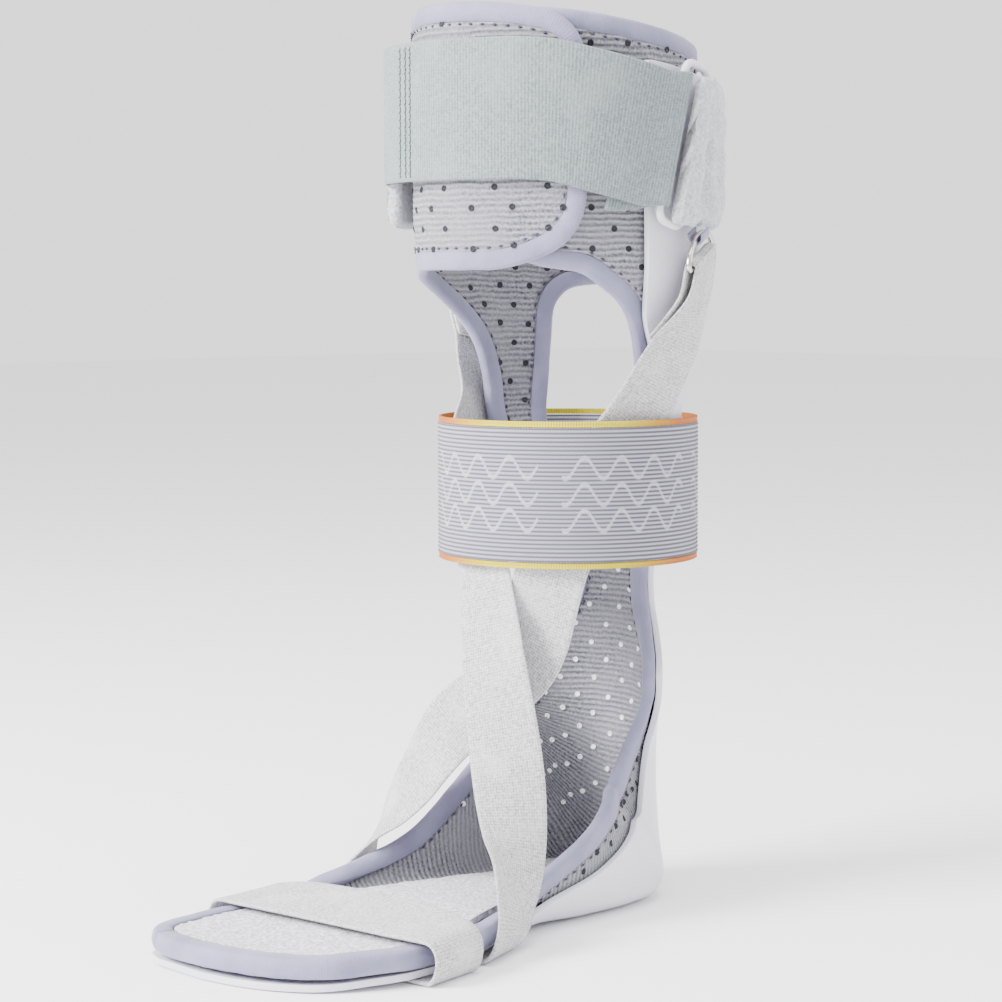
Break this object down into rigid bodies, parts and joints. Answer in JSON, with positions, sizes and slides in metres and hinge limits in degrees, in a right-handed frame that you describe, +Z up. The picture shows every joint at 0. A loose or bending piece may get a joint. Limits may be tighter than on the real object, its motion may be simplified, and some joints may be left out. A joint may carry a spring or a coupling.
{
  "type": "foot drop brace",
  "caption": "Foot drop brace: plastic foot plate, heel cup and calf cuff in a bound, ribbed textile liner, with elastic cross straps to the forefoot and a padded calf strap.",
  "frame": {"origin": "middle of the heel's flat underside, on the surface that the brace stands on", "axes": "+Z up the leg, -Y towards the toes, -X towards the big toe's side (a left foot)"},
  "size_m": [0.1472, 0.2458, 0.3576],
  "materials": {
    "plastic": "satin lilac-white",
    "textile": "ribbed, perforated",
    "tape": "woven edge tape",
    "terry": "short white loops",
    "elastic": "fine grained elastic",
    "pale_elastic": "ribbed elastic, pale grey-green",
    "fleece": "soft brushed loops",
    "knit": "ribbed knit with light zigzags",
    "yellow_trim": "yellow edge knit",
    "metal": "polished"
  },
  "bodies": {
    "root": {"shell": "plastic", "liner": "textile", "edge_binding": "tape", "window_binding": "tape", "insole": "terry", "calf_strap": "pale_elastic", "slot_ring": "plastic", "pad_strap": "fleece", "d_ring_near": "metal", "d_ring_far": "metal", "ring_tab_near": "tape", "ring_tab_far": "tape", "cross_strap_near": "elastic", "cross_strap_far": "elastic", "forefoot_strap": "elastic", "ankle_band": "knit", "band_trim_upper": "yellow_trim", "band_trim_lower": "yellow_trim"}
  },
  "joints": []
}
